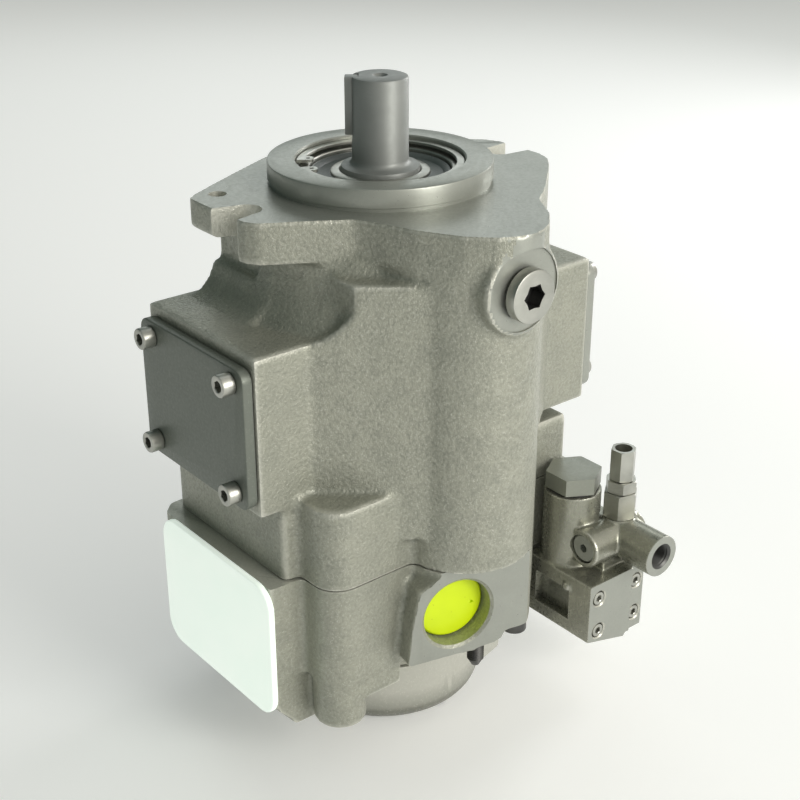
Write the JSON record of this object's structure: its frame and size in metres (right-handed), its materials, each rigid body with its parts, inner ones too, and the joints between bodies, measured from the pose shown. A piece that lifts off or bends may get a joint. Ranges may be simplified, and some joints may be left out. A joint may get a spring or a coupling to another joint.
{
  "type": "axial piston pump",
  "caption": "Swashplate axial piston pump standing on its rear cover: cast housing with two-bolt flange, keyed shaft, port block and pressure compensator valve.",
  "frame": {"origin": "on the shaft axis at the flat foot of the rear cover", "axes": "+Z along the shaft towards its keyed end; X along the swashplate trunnions, suction port face towards -X, compensator towards +X; -Y towards the control cylinder bulge"},
  "size_m": [0.2677, 0.224, 0.3904],
  "materials": {
    "grey_paint": "thin metallic grey paint over rough cast iron, machined faces smoother",
    "bright_steel": "turned or ground steel",
    "dark_steel": "oiled dark steel",
    "bronze": "bearing bronze",
    "rubber": "black nitrile rubber",
    "yellow_plastic": "soft bright yellow moulded plastic",
    "white_plastic": "translucent white moulded plastic"
  },
  "bodies": {
    "pump_body": {"adjuster_lock_nut": "bright_steel", "adjuster_sleeve": "bright_steel", "bias_piston": "bright_steel", "bias_spring": "dark_steel", "clamp_stud": "dark_steel", "compensator_body": "grey_paint", "compensator_hex_plug": "bright_steel", "compensator_screw_1": "dark_steel", "compensator_screw_2": "dark_steel", "compensator_screw_3": "dark_steel", "compensator_screw_4": "dark_steel", "compensator_side_plug": "bright_steel", "compensator_spring": "dark_steel", "control_piston": "bright_steel", "drain_plug": "bright_steel", "front_bearing_outer": "bright_steel", "housing": "grey_paint", "left_cover_screw_1": "bright_steel", "left_cover_screw_2": "bright_steel", "left_cover_screw_3": "bright_steel", "left_cover_screw_4": "bright_steel", "left_trunnion_bearing": "bronze", "left_trunnion_cover": "grey_paint", "pilot_spring": "dark_steel", "port_block": "grey_paint", "port_shipping_plug": "yellow_plastic", "pressure_port_cover": "white_plastic", "rear_bearing_outer": "bright_steel", "rear_cover": "grey_paint", "right_trunnion_bearing": "bronze", "right_trunnion_cover": "grey_paint", "seal_carrier": "bright_steel", "seal_retaining_ring": "dark_steel", "shaft_seal": "rubber", "suction_port_cover": "white_plastic", "swash_wear_plate": "bronze", "swashplate": "bright_steel", "valve_plate": "bronze"},
    "rotating_group": {"drive_shaft": "bright_steel", "shaft_key": "dark_steel", "front_bearing_inner": "bright_steel", "rear_bearing_inner": "bright_steel", "cylinder_barrel": "bright_steel", "piston_1": "bright_steel", "piston_2": "bright_steel", "piston_3": "bright_steel", "piston_4": "bright_steel", "piston_5": "bright_steel", "piston_6": "bright_steel", "piston_7": "bright_steel", "piston_8": "bright_steel", "piston_9": "bright_steel", "retainer_plate": "bright_steel", "retainer_ball": "bright_steel", "barrel_spring": "dark_steel"},
    "front_cage": {"front_roller_cage": "bronze"},
    "rear_cage": {"rear_roller_cage": "bronze"},
    "spool": {"compensator_spool": "bright_steel"},
    "adjuster": {"adjusting_screw": "bright_steel"},
    "poppet": {"pilot_poppet": "bright_steel"}
  },
  "joints": [
    {"name": "shaft_turn", "type": "hinge", "parent": "pump_body", "child": "rotating_group", "pos_m": [0, 0, 0.3], "axis": [0, 0, 1], "continuous": true},
    {"name": "front_cage_turn", "type": "hinge", "parent": "pump_body", "child": "front_cage", "pos_m": [0, 0, 0.311], "axis": [0, 0, 1], "continuous": true},
    {"name": "rear_cage_turn", "type": "hinge", "parent": "pump_body", "child": "rear_cage", "pos_m": [0, 0, 0.116], "axis": [0, 0, 1], "continuous": true},
    {"name": "spool_slide", "type": "slide", "parent": "pump_body", "child": "spool", "axis": [0, 0, 1], "range_m": [-0.0008, 0.003], "deforming": ["compensator_spring"]},
    {"name": "poppet_slide", "type": "slide", "parent": "pump_body", "child": "poppet", "axis": [0, 0, 1], "range_m": [0, 0.0015], "deforming": ["pilot_spring"]},
    {"name": "adjuster_turn", "type": "hinge", "parent": "pump_body", "child": "adjuster", "pos_m": [0.118, -0.091, 0.145], "axis": [0, 0, 1], "range_deg": [-180, 180]}
  ],
  "couplings": [
    {"joint": "front_cage_turn", "follows": "shaft_turn", "ratio": 0.42667},
    {"joint": "rear_cage_turn", "follows": "shaft_turn", "ratio": 0.42609}
  ]
}
